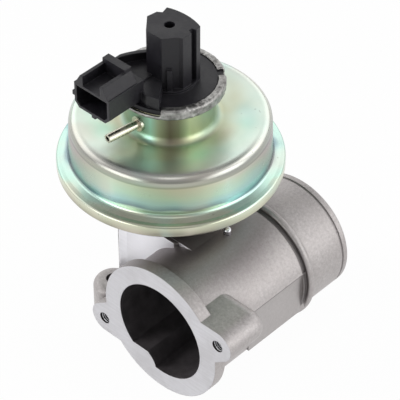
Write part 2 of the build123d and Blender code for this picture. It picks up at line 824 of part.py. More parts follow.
def sensor_plunger():
    tip = stem_tip_z + plunger_tip_gap
    rod = rod_z(plunger_r, tip, plunger_head_z + 1)
    rod = fillet(rod.edges().sort_by(Axis.Z)[0], 1.2)
    head = rod_z(plunger_head_r, plunger_head_z, plunger_head_z + plunger_head_height)
    head -= Pos(0, plunger_head_r + wiper_flat, plunger_head_z + plunger_head_height / 2) * Box(
        2 * plunger_head_r, 2 * plunger_head_r, plunger_head_height + 2)
    return on_axis(rod + head)


def pickup_spring():
    low = plunger_head_z + plunger_head_height
    return on_axis(coil(pickup_spring_r - pickup_wire_r, pickup_wire_r, low, cavity_top_z - 0.2, pickup_turns))


def track_board():
    return on_axis(Pos(0, board_y + board_thickness / 2, board_middle_z) * Box(
        board_width, board_thickness, board_height))


def wiper():
    """Sprung contact on the plunger head that slides on the track board."""
    flat = wiper_flat
    middle = plunger_head_z + plunger_head_height / 2
    reach = board_y - 0.15
    foot = flat + wiper_foot
    spring = make_face(Polyline((flat, middle + wiper_half), (foot, middle + wiper_half), (foot, middle + wiper_bow),
                                (reach, middle), (foot, middle - wiper_bow), (foot, middle - wiper_half),
                                (flat, middle - wiper_half), close=True))
    side = Plane(origin=(-wiper_width / 2, 0, 0), x_dir=(0, 1, 0), z_dir=(1, 0, 0))
    return on_axis(extrude(side * spring, wiper_width))


nodes = {
    "valve_housing": housing,
    "locating_pin": locating_pin,
    "valve_seat_ring": seat_ring,
    "poppet_valve": poppet,
    "valve_stem": valve_stem,
    "stem_guide_bush": guide_bush,
    "deposit_shield": deposit_shield,
    "stem_seal": stem_seal,
    "seal_retainer": seal_retainer,
    "actuator_gasket": actuator_gasket,
    "lower_diaphragm_shell": lower_shell,
    "actuator_screws": actuator_screws,
    "upper_diaphragm_shell": upper_shell,
    "diaphragm": diaphragm,
    "diaphragm_piston": diaphragm_piston,
    "diaphragm_support_plate": support_plate,
    "stem_nut": stem_nut,
    "return_spring": return_spring,
    "vacuum_pipe": vacuum_pipe,
    "vacuum_pipe_collar": pipe_washer,
    "sensor_crimp_ring": crimp_ring,
    "sensor_housing": sensor_housing,
    "sensor_seal": sensor_seal,
    "connector_pins": connector_pins,
    "sensor_plunger": sensor_plunger,
    "plunger_spring": pickup_spring,
    "sensor_wiper": wiper,
    "sensor_track_board": track_board,
}

for name, make in nodes.items():
    export_step(make(), f"parts/{name}.step")
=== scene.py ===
# %% [markdown]
# # An EGR valve in the studio
# The valve recirculates exhaust gas: an aluminium casting carries a plated pressed-steel
# vacuum actuator, and a black plastic position sensor is crimped on top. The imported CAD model
# gives the places and sizes. This lesson adds the finishes and the pieces whose surface needs more
# than a CAD solid has: the pressed shells, the rough crimp ring, the rubber diaphragm, the threads and
# the springs. One piece has no CAD node: the cheek that widens the pedestal on its left.

# %% Load the frame
from math import cos, pi, radians, sin, tan

import bmesh
import bpy
from mathutils import Matrix, Vector, noise


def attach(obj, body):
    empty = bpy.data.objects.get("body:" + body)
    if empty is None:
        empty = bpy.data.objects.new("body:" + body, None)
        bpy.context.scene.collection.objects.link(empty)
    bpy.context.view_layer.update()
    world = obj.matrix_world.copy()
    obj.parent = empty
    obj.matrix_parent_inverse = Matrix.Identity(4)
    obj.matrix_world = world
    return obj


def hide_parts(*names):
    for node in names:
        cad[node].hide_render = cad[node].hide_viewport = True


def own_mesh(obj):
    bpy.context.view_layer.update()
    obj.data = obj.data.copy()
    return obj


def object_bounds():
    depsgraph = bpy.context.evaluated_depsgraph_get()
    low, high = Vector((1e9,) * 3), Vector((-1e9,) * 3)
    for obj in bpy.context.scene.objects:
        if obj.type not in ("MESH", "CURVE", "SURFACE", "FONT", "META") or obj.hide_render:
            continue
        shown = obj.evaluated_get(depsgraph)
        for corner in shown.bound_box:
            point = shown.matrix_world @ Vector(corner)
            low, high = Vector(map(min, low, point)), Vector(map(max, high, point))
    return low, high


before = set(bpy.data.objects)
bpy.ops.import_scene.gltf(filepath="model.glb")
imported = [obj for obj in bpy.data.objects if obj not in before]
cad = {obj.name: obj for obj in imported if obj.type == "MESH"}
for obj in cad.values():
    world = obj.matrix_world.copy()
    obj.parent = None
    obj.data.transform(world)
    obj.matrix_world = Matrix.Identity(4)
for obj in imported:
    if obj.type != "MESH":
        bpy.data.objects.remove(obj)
cad_box = [list(corner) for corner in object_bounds()]
print("CAD nodes:", len(cad))

# %% [markdown]
# The drawings of this part are in millimetres and Blender works in metres, so lengths are written
# in millimetres and multiplied by `MM`. The valve axis, a vertical line, is the centre of the actuator.

# %% Units and the valve axis
MM = 0.001
AXIS = Vector((-28.5, 38.2, 0.0)) * MM


def tint(red, green, blue):
    """A colour as the eye reads it, 0 to 255, in the linear values that a shader takes."""
    values = [c / 255 for c in (red, green, blue)]
    return [c / 12.92 if c <= 0.04045 else ((c + 0.055) / 1.055) ** 2.4 for c in values] + [1.0]


# %% [markdown]
# The camera comes first. A product photographer uses a long lens from about a metre away,
# which keeps the circles of the flanges close to true ellipses.

# %% Camera
AZIMUTH, ELEVATION = radians(43.111), radians(41.523)
DISTANCE = 1000.0
AIM_RIGHT, AIM_UP = 18.368, 59.722
FOCAL_PIXELS = 2207.086
SENSOR = 36.0

right = Vector((cos(AZIMUTH), sin(AZIMUTH), 0))
back = Vector((sin(AZIMUTH) * cos(ELEVATION), -cos(AZIMUTH) * cos(ELEVATION), sin(ELEVATION)))
up = back.cross(right)
camera_data = bpy.data.cameras.new("camera")
camera_data.sensor_width = SENSOR
camera_data.lens = FOCAL_PIXELS / 400 * SENSOR
camera_data.clip_start = 0.05
camera = bpy.data.objects.new("camera", camera_data)
camera.matrix_world = Matrix.Translation((right * AIM_RIGHT + up * AIM_UP + back * DISTANCE) * MM) @ Matrix(
    (right, up, back)).transposed().to_4x4()
bpy.context.scene.collection.objects.link(camera)
bpy.context.scene.camera = camera
print("camera at", [round(v, 3) for v in camera.matrix_world.translation])

# %% [markdown]
# Node trees are long when every socket is wired by hand. `add` makes one node, sets its
# options and its inputs: an input that is given a socket is linked, any other value is typed in.

# %% Node helpers


def add(tree, kind, inputs=None, **options):
    """One shader node, with its inputs linked or typed in."""
    made = tree.nodes.new(kind)
    for name, value in options.items():
        setattr(made, name, value)
    for name, value in (inputs or {}).items():
        if isinstance(value, bpy.types.NodeSocket):
            tree.links.new(value, made.inputs[name])
        else:
            made.inputs[name].default_value = value
    return made


def calc(tree, operation, first, second=0.0, clamp=False):
    """The result of one Math node."""
    return add(tree, "ShaderNodeMath", {0: first, 1: second}, operation=operation, use_clamp=clamp).outputs[0]


def span(tree, value, low, high, to_low=0.0, to_high=1.0):
    """A value moved from one range to another, smoothly and never outside it."""
    return add(tree, "ShaderNodeMapRange", {"Value": value, "From Min": low, "From Max": high,
                                            "To Min": to_low, "To Max": to_high},
               interpolation_type="SMOOTHSTEP").outputs[0]


def mixed(tree, share, first, second, way="MIX"):
    """Two colours mixed by a share."""
    made = add(tree, "ShaderNodeMix", {0: share, 6: first, 7: second}, data_type="RGBA", blend_type=way)
    return made.outputs[2]


def ramp(tree, value, stops):
    """A colour ramp from a list of (place, colour)."""
    made = add(tree, "ShaderNodeValToRGB", {0: value})
    points = made.color_ramp.elements
    points[0].position, points[0].color = stops[0]
    points[1].position, points[1].color = stops[-1]
    for place, colour in stops[1:-1]:
        points.new(place).color = colour
    return made.outputs[0]


def clouds(tree, place, scale, detail=3.0, rough=0.55, stretch=None):
    """Noise on the object, scale in features per metre."""
    if stretch is not None:
        place = add(tree, "ShaderNodeMapping", {"Vector": place, "Scale": stretch}).outputs[0]
    return add(tree, "ShaderNodeTexNoise", {"Vector": place, "Scale": scale, "Detail": detail,
                                            "Roughness": rough}).outputs[0]


def group(name, inputs, outputs, build):
    """A node group with named sockets. build(tree, sources, results) wires it."""
    tree = bpy.data.node_groups.new(name, "ShaderNodeTree")
    for label, kind, value in inputs:
        socket = tree.interface.new_socket(label, in_out="INPUT", socket_type=kind)
        if value is not None:
            socket.default_value = value
    for label, kind in outputs:
        tree.interface.new_socket(label, in_out="OUTPUT", socket_type=kind)
    sources = tree.nodes.new("NodeGroupInput").outputs
    results = tree.nodes.new("NodeGroupOutput").inputs
    build(tree, sources, results)
    print("node group", name)
    return tree


FLOAT, COLOUR, VECTOR = "NodeSocketFloat", "NodeSocketColor", "NodeSocketVector"

# %% [markdown]
# A casting keeps the skin of its mould: fine grains of two sizes. The grain group gives a height for
# the bump and a mottle for the colour, and every metal and plastic here uses it at its own scale.

# %% Grain group


def build_grain(tree, sources, results):
    place = add(tree, "ShaderNodeTexCoord").outputs["Object"]
    fine = clouds(tree, place, sources["Scale"], 4.0, 0.65)
    coarse = clouds(tree, place, calc(tree, "DIVIDE", sources["Scale"], 2.5), 2.0)
    cells = add(tree, "ShaderNodeTexVoronoi", {"Vector": place, "Scale": sources["Scale"]})
    pits = cells.outputs["Distance"]
    height = calc(tree, "ADD", calc(tree, "MULTIPLY", fine, 0.6), calc(tree, "MULTIPLY", pits, 0.4))
    tree.links.new(height, results["Height"])
    tree.links.new(calc(tree, "ADD", calc(tree, "MULTIPLY", fine, 0.5), calc(tree, "MULTIPLY", coarse, 0.5)),
                   results["Mottle"])


grain = group("surface_grain", [("Scale", FLOAT, 1500.0)], [("Height", FLOAT), ("Mottle", FLOAT)],
              build_grain)

# %% [markdown]
# Corners of a real part are rubbed and catch the light, so their colour is painted lighter: wear and a
# painted highlight. The Bevel node returns the normal of a rounded edge, so wherever it differs from the true
# normal there is an edge. That difference is the mask for both.

# %% Edge wear group


def build_edges(tree, sources, results):
    place = add(tree, "ShaderNodeTexCoord").outputs["Object"]
    rounded = add(tree, "ShaderNodeBevel", {"Radius": sources["Radius"]}, samples=6).outputs[0]
    true_normal = add(tree, "ShaderNodeNewGeometry").outputs["Normal"]
    likeness = add(tree, "ShaderNodeVectorMath", {0: rounded, 1: true_normal},
                   operation="DOT_PRODUCT").outputs[1]
    edge = span(tree, calc(tree, "SUBTRACT", 1.0, likeness), 0.02, 0.3)
    patches = span(tree, clouds(tree, place, 240.0), 0.35, 0.6)
    tree.links.new(calc(tree, "MULTIPLY", edge, patches, True), results["Mask"])
    tree.links.new(rounded, results["Normal"])


edges = group("edge_wear_and_highlight", [("Radius", FLOAT, 0.0004)], [("Mask", FLOAT), ("Normal", VECTOR)], build_edges)

# %% [markdown]
# Dust settles on faces that look up and fades on steep ones. It is a pale veil with soft patches.

# %% Dust group


def build_dust(tree, sources, results):
    place = add(tree, "ShaderNodeTexCoord").outputs["Object"]
    normal = add(tree, "ShaderNodeNewGeometry").outputs["Normal"]
    facing = add(tree, "ShaderNodeSeparateXYZ", {0: normal}).outputs[2]
    lies = span(tree, facing, 0.2, 0.9)
    patches = span(tree, clouds(tree, place, 90.0, 5.0, 0.7), 0.4, 0.75)
    amount = calc(tree, "MULTIPLY", calc(tree, "MULTIPLY", lies, patches), sources["Amount"], True)
    tree.links.new(amount, results["Mask"])


dust = group("settled_dust", [("Amount", FLOAT, 0.2)], [("Mask", FLOAT)], build_dust)


def use(tree, node_group, **inputs):
    """A placed copy of a group. Socket names are given with their first letter small."""
    made = tree.nodes.new("ShaderNodeGroup")
    made.node_tree = node_group
    for name, value in inputs.items():
        label = name.capitalize()
        if isinstance(value, bpy.types.NodeSocket):
            tree.links.new(value, made.inputs[label])
        else:
            made.inputs[label].default_value = value
    return made.outputs


def surface(name):
    """An empty material with its Principled shader."""
    made = bpy.data.materials.new(name)
    made.use_nodes = True
    tree = made.node_tree
    return made, tree, tree.nodes["Principled BSDF"]


def bumped(tree, height, strength, depth, normal=None):
    """The normal of a Bump node. depth is in metres."""
    inputs = {"Height": height, "Strength": strength, "Distance": depth}
    if normal is not None:
        inputs["Normal"] = normal
    return add(tree, "ShaderNodeBump", inputs).outputs[0]


# %% [markdown]
# ## Cast aluminium
# The housing is one casting with three looks: a matt grained skin, faces that were milled flat
# and are brighter with fine tool lines, and a bore that is black inside. Their places are known,
# so masks on Object coordinates tell them apart.

# %% Cast aluminium
BORE_RADIUS = 25.0
EXHAUST_FACE = -35.0
EAR_X, EAR_Z = 35.62, 15.12
TAP_RADIUS, EAR_THICKNESS = 3.0, 6.55
HOLLOW_REACH = 0.016
TUBE_RADIUS = 30.5
PEDESTAL_FRONT, PLATE_FRONT = 23.4, 25.6
UNDER_SHADE_EDGE, UNDER_SHADE_FULL = 56.0, 38.0
FACE_SLACK, MASK_SLACK = 0.06, 0.1
HOLE_SLACK, BORE_SLACK = 0.08, 0.15
GROOVE_RADIUS, GROOVE_LENGTH = 30.4, (65.05, 67.5)
FLAT_X, FLAT_LENGTH, FLAT_FOOT, FLAT_TOP = (28.3, 29.2), (28.0, 65.0), -14.0, 9.2


def near_axis(tree, across, up_axis, x, z, radius):
    """1 inside a cylinder of a radius in millimetres about a point of two coordinates."""
    offset = add(tree, "ShaderNodeCombineXYZ", {0: calc(tree, "SUBTRACT", across, x * MM),
                                                1: calc(tree, "SUBTRACT", up_axis, z * MM)}).outputs[0]
    length = add(tree, "ShaderNodeVectorMath", {0: offset}, operation="LENGTH").outputs["Value"]
    return calc(tree, "LESS_THAN", length, radius * MM)


def band(tree, value, low, high):
    """1 where a coordinate lies between two lengths in millimetres."""
    return calc(tree, "MULTIPLY", calc(tree, "GREATER_THAN", value, low * MM),
                calc(tree, "LESS_THAN", value, high * MM))


def cast_aluminium():
    material, tree, shader = surface("cast_aluminium")
    place = add(tree, "ShaderNodeTexCoord").outputs["Object"]
    x, y, z = add(tree, "ShaderNodeSeparateXYZ", {0: place}).outputs
    skin = use(tree, grain, scale=1900.0)
    edge = use(tree, edges, radius=0.0006)
    # the mottled grey of the skin, with soft darker stains
    stain = span(tree, clouds(tree, place, 35.0, 4.0), 0.35, 0.7)
    skin_colour = ramp(tree, skin["Mottle"], [(0.34, tint(164, 159, 158)), (0.5, tint(182, 177, 176)),
                                              (0.66, tint(198, 194, 193))])
    skin_colour = mixed(tree, calc(tree, "MULTIPLY", stain, 0.3), skin_colour, tint(166, 159, 157))
    # milled faces: the intake flange at Y 0 and the exhaust face
    front = calc(tree, "LESS_THAN", y, FACE_SLACK * MM)
    foot = calc(tree, "LESS_THAN", z, (EXHAUST_FACE + FACE_SLACK) * MM)
    milled = calc(tree, "ADD", front, foot, True)
    # the pedestal's front and the edge of the seat plate, above the tube, take the milled finish, and with it
    # painted light
    skimmed_and_painted_light = calc(tree, "ADD", band(tree, y, PEDESTAL_FRONT - MASK_SLACK, PEDESTAL_FRONT + MASK_SLACK),
                   band(tree, y, PLATE_FRONT - MASK_SLACK, PLATE_FRONT + MASK_SLACK), True)
    outside_tube = calc(tree, "SUBTRACT", 1.0, near_axis(tree, x, z, 0, 0, TUBE_RADIUS + MASK_SLACK))
    skimmed_and_painted_light = calc(tree, "MULTIPLY", skimmed_and_painted_light, outside_tube)
    milled = calc(tree, "ADD", milled, skimmed_and_painted_light, True)
    lines = clouds(tree, place, 700.0, 2.0, 0.5, (0.1, 1.0, 1.3))
    milled_colour = ramp(tree, lines, [(0.3, tint(202, 201, 204)), (0.7, tint(212, 211, 215))])
    worn = span(tree, clouds(tree, place, 55.0, 4.0, 0.6), 0.4, 0.7)
    milled_colour = mixed(tree, calc(tree, "MULTIPLY", worn, 0.45), milled_colour, tint(184, 182, 184))
    colour = mixed(tree, milled, skin_colour, milled_colour)
    # a painted highlight on the pedestal's front, stronger towards its right, lightens the shell's shadow
    # there
    painted_light_share = span(tree, x, -52.0 * MM, -32.0 * MM, 0.25, 0.95)
    colour = mixed(tree, calc(tree, "MULTIPLY", skimmed_and_painted_light, painted_light_share), colour, tint(240, 239, 244))
    # rubbed edges, painted lighter: wear and a painted highlight
    colour = mixed(tree, calc(tree, "MULTIPLY", edge["Mask"], 0.45), colour, tint(222, 221, 223))
    # painted shade where the casting is hollow: round the boss, behind the flange, under the actuator
    openness = add(tree, "ShaderNodeAmbientOcclusion", {"Distance": HOLLOW_REACH}, samples=12).outputs["AO"]
    hollow = calc(tree, "MULTIPLY", span(tree, openness, 0.95, 0.5), calc(tree, "SUBTRACT", 1.0, milled))
    colour = mixed(tree, calc(tree, "MULTIPLY", hollow, 0.7), colour, tint(104, 98, 97))
    # painted shade on the faces that look up under the actuator, deepest near its axis
    from_axis = add(tree, "ShaderNodeVectorMath", {0: add(tree, "ShaderNodeCombineXYZ", {
        0: calc(tree, "SUBTRACT", x, AXIS.x), 1: calc(tree, "SUBTRACT", y, AXIS.y)}).outputs[0]},
        operation="LENGTH").outputs["Value"]
    normal = add(tree, "ShaderNodeNewGeometry").outputs["Normal"]
    facing_up = add(tree, "ShaderNodeSeparateXYZ", {0: normal}).outputs[2]
    painted_under_shade = calc(tree, "MULTIPLY", span(tree, from_axis, UNDER_SHADE_EDGE * MM, UNDER_SHADE_FULL * MM),
                  span(tree, facing_up, 0.2, 0.6))
    painted_under_shade = calc(tree, "MULTIPLY", calc(tree, "MULTIPLY", painted_under_shade, calc(tree, "SUBTRACT", 1.0, milled)),
                  span(tree, z, 0.0, 12.0 * MM))
    colour = mixed(tree, calc(tree, "MULTIPLY", painted_under_shade, 0.6), colour, tint(112, 104, 106))
    # the bore is coloured dark inside, and the tapped holes in the ears get painted shade
    behind_front = calc(tree, "SUBTRACT", 1.0, front)
    holes = calc(tree, "MULTIPLY", near_axis(tree, x, z, 0, 0, BORE_RADIUS + BORE_SLACK), behind_front)
    bore_dark = ramp(tree, clouds(tree, place, 160.0, 5.0, 0.6),
                [(0.3, tint(50, 47, 48)), (0.7, tint(76, 72, 74))])
    left_hole = calc(tree, "MULTIPLY", near_axis(tree, x, z, -EAR_X, -EAR_Z, TAP_RADIUS + HOLE_SLACK),
                     calc(tree, "LESS_THAN", y, EAR_THICKNESS * MM))
    right_hole = near_axis(tree, x, z, EAR_X, EAR_Z, TAP_RADIUS + HOLE_SLACK)
    painted_hole_shade = calc(tree, "MULTIPLY", calc(tree, "ADD", right_hole, left_hole, True), behind_front)
    colour = mixed(tree, holes, colour, bore_dark)
    colour = mixed(tree, painted_hole_shade, colour, tint(58, 54, 54))
    # painted shade in the relief groove before the collar
    groove = calc(tree, "MULTIPLY", near_axis(tree, x, z, 0, 0, GROOVE_RADIUS), band(tree, y, *GROOVE_LENGTH))
    colour = mixed(tree, calc(tree, "MULTIPLY", groove, 0.4), colour, tint(82, 78, 78))
    # painted shade on the flat on the right side, and a painted shadow line under the ledge at its upper edge
    flat = calc(tree, "MULTIPLY", calc(tree, "MULTIPLY", band(tree, x, *FLAT_X), band(tree, y, *FLAT_LENGTH)),
                band(tree, z, FLAT_FOOT, FLAT_TOP + 0.3))
    colour = mixed(tree, calc(tree, "MULTIPLY", flat, 0.5), colour, tint(178, 174, 173))
    flat_edge_shadow = calc(tree, "MULTIPLY", flat, calc(tree, "GREATER_THAN", z, (FLAT_TOP - 0.5) * MM))
    colour = mixed(tree, calc(tree, "MULTIPLY", flat_edge_shadow, 0.6), colour, tint(84, 80, 80))
    tree.links.new(colour, shader.inputs["Base Color"])
    metal = calc(tree, "MULTIPLY", calc(tree, "SUBTRACT", 1.0, holes), 0.75)
    tree.links.new(metal, shader.inputs["Metallic"])
    rough = span(tree, skin["Mottle"], 0.35, 0.65, 0.4, 0.5)
    rough = calc(tree, "SUBTRACT", rough, calc(tree, "MULTIPLY", milled, 0.04))
    tree.links.new(rough, shader.inputs["Roughness"])
    unmilled = calc(tree, "SUBTRACT", 1.0, calc(tree, "MULTIPLY", milled, 0.9))
    height = calc(tree, "MULTIPLY", skin["Height"], unmilled)
    tree.links.new(bumped(tree, height, 0.5, 0.0002, edge["Normal"]), shader.inputs["Normal"])
    return material


# %% [markdown]
# ## Zinc with a passivated film
# The actuator shells are zinc plated and dipped in a clear passivate. The film is thinner than a
# wavelength of light, so its thickness shows as colour: straw, teal, blue, green, then silver. It drained
# along the sheet as it dried, so the bands follow the way from the rim up the wall and in over the roof.
# The ramp below is that order of colours, with painted shade at the rim's lower edge and at the wall's foot,
# and cloudy noise bends its bands.

# %% Passivate film group


SHEET_LENGTH = 72.0
SHOULDER_RADIUS, RIM_LEVEL, ROOF_LEVEL = 45.3, 61.0, 89.9
SILHOUETTE_ANGLE = 43.0
DRIFT_REACH, WAVE_REACH = 12.0, 1.5
WALL_START, BEND_FOOT, BEND_TOP, BEND_RADIUS = (68.6, 70.0), (83.6, 84.6), (89.0, 87.0), 43.0


def build_film(tree, sources, results):
    place = add(tree, "ShaderNodeTexCoord").outputs["Object"]
    centred = add(tree, "ShaderNodeMapping", {"Vector": place, "Location": -AXIS}).outputs[0]
    x, y, z = add(tree, "ShaderNodeSeparateXYZ", {0: centred}).outputs
    angle = calc(tree, "ARCTAN2", y, x)
    flat = add(tree, "ShaderNodeCombineXYZ", {0: x, 1: y}).outputs[0]
    radius = add(tree, "ShaderNodeVectorMath", {0: flat}, operation="LENGTH").outputs["Value"]
    # the way along the sheet from the rim: up the wall, in over the roof, up the neck
    inwards = calc(tree, "MAXIMUM", calc(tree, "SUBTRACT", SHOULDER_RADIUS * MM, radius), 0.0)
    on_top = span(tree, z, (ROOF_LEVEL - 6) * MM, (ROOF_LEVEL - 4) * MM)
    way = calc(tree, "ADD", calc(tree, "SUBTRACT", z, RIM_LEVEL * MM),
               calc(tree, "MULTIPLY", inwards, on_top))
    drift = clouds(tree, centred, 22.0, 2.0, 0.5)
    way = calc(tree, "ADD", way, calc(tree, "MULTIPLY", calc(tree, "SUBTRACT", drift, 0.5), DRIFT_REACH * MM))
    wave = calc(tree, "SINE", calc(tree, "ADD", calc(tree, "MULTIPLY", angle, 2.0), 0.6))
    way = calc(tree, "ADD", way, calc(tree, "MULTIPLY", wave, WAVE_REACH * MM))
    share = calc(tree, "ADD", calc(tree, "DIVIDE", way, SHEET_LENGTH * MM), sources["Shift"])
    # its darker stops at the rim's lower edge and at the wall's foot are painted shade
    colour = ramp(tree, share, [
        (0.0, tint(150, 148, 134)), (0.02, tint(176, 176, 156)), (0.055, tint(204, 208, 184)),
        (0.08, tint(214, 222, 202)), (0.09, tint(198, 232, 216)), (0.112, tint(196, 228, 218)),
        (0.122, tint(134, 160, 168)), (0.135, tint(150, 182, 188)), (0.16, tint(178, 216, 214)),
        (0.21, tint(196, 226, 206)), (0.28, tint(208, 222, 198)), (0.33, tint(218, 214, 200)),
        (0.36, tint(204, 200, 194)), (0.41, tint(222, 222, 214)), (0.47, tint(226, 240, 228)),
        (0.58, tint(228, 242, 226)),
        (0.68, tint(206, 212, 184)), (0.78, tint(190, 188, 156)), (1.0, tint(196, 198, 170))])
    # clouds of a thinner and a thicker film
    cloud = clouds(tree, centred, 34.0, 2.0, 0.5)
    colour = mixed(tree, span(tree, cloud, 0.5, 0.72, 0.0, 0.55), colour, tint(186, 226, 222))
    colour = mixed(tree, span(tree, cloud, 0.5, 0.3, 0.0, 0.45), colour, tint(224, 214, 200))
    # round the wall the colour is painted for the view: darker tan in front, a painted reflection of the dark
    # space before the shell, and rose and darker towards the silhouettes, a painted sheen
    side = calc(tree, "COSINE", calc(tree, "SUBTRACT", angle, radians(SILHOUETTE_ANGLE)))
    side = calc(tree, "MULTIPLY", side, side)
    turn = ramp(tree, side, [
        (0.0, tint(206, 204, 190)), (0.12, tint(232, 232, 222)), (0.3, tint(255, 255, 255)),
        (0.6, tint(222, 222, 224)), (1.0, tint(168, 160, 170))])
    on_wall = calc(tree, "MULTIPLY", span(tree, z, WALL_START[0] * MM, WALL_START[1] * MM),
                   calc(tree, "SUBTRACT", 1.0, on_top))
    colour = mixed(tree, on_wall, colour, turn, "MULTIPLY")
    # painted shade round the shoulder, dulling its bend below the top
    bend = calc(tree, "MULTIPLY", span(tree, z, BEND_FOOT[0] * MM, BEND_FOOT[1] * MM),
                span(tree, z, BEND_TOP[0] * MM, BEND_TOP[1] * MM))
    bend = calc(tree, "MULTIPLY", bend, calc(tree, "GREATER_THAN", radius, BEND_RADIUS * MM))
    colour = mixed(tree, bend, colour, tint(203, 209, 208), "MULTIPLY")
    # patches of olive and green on the roof near the neck, and on the neck upright bands of painted
    # reflection, darkest at its front
    patch = clouds(tree, centred, 48.0, 1.0, 0.4)
    near_neck = calc(tree, "MULTIPLY", span(tree, radius, 42.0 * MM, 28.0 * MM), on_top)
    olive = calc(tree, "MULTIPLY", span(tree, patch, 0.46, 0.72, 0.0, 0.6), near_neck)
    colour = mixed(tree, olive, colour, tint(186, 172, 128))
    green = calc(tree, "MULTIPLY", span(tree, patch, 0.5, 0.3, 0.0, 0.6), near_neck)
    colour = mixed(tree, green, colour, tint(176, 232, 206))
    round_neck = calc(tree, "DIVIDE", calc(tree, "ADD", angle, radians(180 - SILHOUETTE_ANGLE)), pi)
    painted_neck_reflection = ramp(tree, round_neck, [
        (0.0, tint(176, 196, 180)), (0.28, tint(136, 166, 142)), (0.36, tint(186, 232, 212)),
        (0.42, tint(180, 190, 158)), (0.5, tint(128, 120, 102)), (0.56, tint(152, 148, 122)),
        (0.64, tint(214, 220, 180)), (0.76, tint(174, 192, 166)), (0.9, tint(154, 174, 152)),
        (1.0, tint(176, 196, 180))])
    on_neck = calc(tree, "MULTIPLY", span(tree, radius, 23.5 * MM, 21.0 * MM), on_top)
    colour = mixed(tree, on_neck, colour, painted_neck_reflection)
    tree.links.new(colour, results["Color"])
    tree.links.new(calc(tree, "MULTIPLY", on_top, span(tree, radius, 43.5 * MM, 41.0 * MM)), results["Roof"])


film = group("passivate_film", [("Shift", FLOAT, 0.0)], [("Color", COLOUR), ("Roof", FLOAT)], build_film)


def passivated_zinc(name, shift, roughness):
    material, tree, shader = surface(name)
    place = add(tree, "ShaderNodeTexCoord").outputs["Object"]
    coat = use(tree, film, shift=shift)
    colour = coat["Color"]
    specks = span(tree, clouds(tree, place, 420.0, 1.0), 0.77, 0.8)
    colour = mixed(tree, calc(tree, "MULTIPLY", specks, 0.4), colour, tint(92, 92, 84))
    veil = use(tree, dust, amount=0.08)["Mask"]
    colour = mixed(tree, veil, colour, tint(214, 216, 210))
    tree.links.new(colour, shader.inputs["Base Color"])
    shader.inputs["Metallic"].default_value = 1.0
    rough = span(tree, clouds(tree, place, 60.0, 3.0), 0.3, 0.7, roughness - 0.03, roughness + 0.04)
    rough = calc(tree, "ADD", rough, calc(tree, "MULTIPLY", coat["Roof"], 0.16))
    tree.links.new(rough, shader.inputs["Roughness"])
    peel = clouds(tree, place, 220.0, 2.0)
    tree.links.new(bumped(tree, peel, 0.06, 0.0002), shader.inputs["Normal"])
    return material


# %% [markdown]
# ## Plain metals
# Steel, bronze, spring wire and the rough crimp ring differ only in colour, roughness and how
# deep their grain is, so one function makes them all.

# %% Plain metals


def metal(name, dark, light, roughness, scale=1200.0, depth=0.2, wear_and_highlight=None):
    """Metal whose colour varies between dark and light along its grain."""
    material, tree, shader = surface(name)
    skin = use(tree, grain, scale=scale)
    edge = use(tree, edges, radius=0.0003)
    colour = ramp(tree, skin["Mottle"], [(0.36, dark), (0.64, light)])
    # the edges are painted lighter: wear and a painted highlight
    if wear_and_highlight is not None:
        colour = mixed(tree, calc(tree, "MULTIPLY", edge["Mask"], 0.6), colour, wear_and_highlight)
    tree.links.new(colour, shader.inputs["Base Color"])
    shader.inputs["Metallic"].default_value = 1.0
    rough = span(tree, skin["Mottle"], 0.35, 0.65, roughness - 0.05, roughness + 0.08)
    tree.links.new(rough, shader.inputs["Roughness"])
    tree.links.new(bumped(tree, skin["Height"], depth, 0.0002, edge["Normal"]), shader.inputs["Normal"])
    return material


# %% [markdown]
# ## Black plastic and the other non-metals
# The sensor is glass-filled nylon from a spark-eroded mould: nearly black, matt, with paler edges that are
# rubbed and also carry a painted highlight. Rubber, gasket sheet and the board are made the same way with
# other colours.

# %% Plastics and rubber


def plastic(name, dark, light, roughness, scale=1600.0, depth=0.25, wear_and_highlight=None, gloss=0.5):
    """Moulded material: a fine grain, edges painted lighter as wear and highlight, and a little dust."""
    material, tree, shader = surface(name)
    skin = use(tree, grain, scale=scale)
    edge = use(tree, edges, radius=0.00035)
    colour = ramp(tree, skin["Mottle"], [(0.36, dark), (0.64, light)])
    # the edges are painted lighter: wear and a painted highlight
    if wear_and_highlight is not None:
        colour = mixed(tree, calc(tree, "MULTIPLY", edge["Mask"], 0.5), colour, wear_and_highlight)
    veil = use(tree, dust, amount=0.05)["Mask"]
    colour = mixed(tree, veil, colour, tint(150, 150, 150))
    tree.links.new(colour, shader.inputs["Base Color"])
    shader.inputs["Specular IOR Level"].default_value = gloss
    rough = span(tree, skin["Mottle"], 0.35, 0.65, roughness - 0.06, roughness + 0.08)
    tree.links.new(rough, shader.inputs["Roughness"])
    tree.links.new(bumped(tree, skin["Height"], depth, 0.0002, edge["Normal"]), shader.inputs["Normal"])
    return material


# %% [markdown]
# Each CAD node takes its finish here. The shells, crimp ring, diaphragm and springs are remodelled
# further down, and their new pieces take the same finishes.

# %% Finishes for the CAD nodes
aluminium = cast_aluminium()
shell_zinc = passivated_zinc("passivated_zinc", 0.0, 0.24)
cone_zinc = passivated_zinc("passivated_zinc_cone", 0.3, 0.32)
black_nylon = plastic("black_nylon", tint(20, 19, 23), tint(32, 31, 36), 0.46, wear_and_highlight=tint(92, 92, 98),
                      gloss=0.45)
bright_steel = metal("bright_steel", tint(206, 206, 210), tint(232, 232, 235), 0.24, depth=0.05)
heat_steel = metal("heat_tinted_steel", tint(104, 96, 92), tint(140, 132, 124), 0.36)
seat_steel = metal("seat_steel", tint(120, 116, 112), tint(150, 146, 142), 0.34)
ring_metal = metal("crimped_steel", tint(112, 110, 108), tint(196, 195, 192), 0.36, scale=500.0, depth=0.9,
                   wear_and_highlight=tint(232, 230, 225))
straw_zinc = metal("straw_zinc", tint(208, 203, 186), tint(224, 220, 205), 0.27, depth=0.02)
bronze = metal("sintered_bronze", tint(146, 116, 76), tint(176, 144, 98), 0.4)
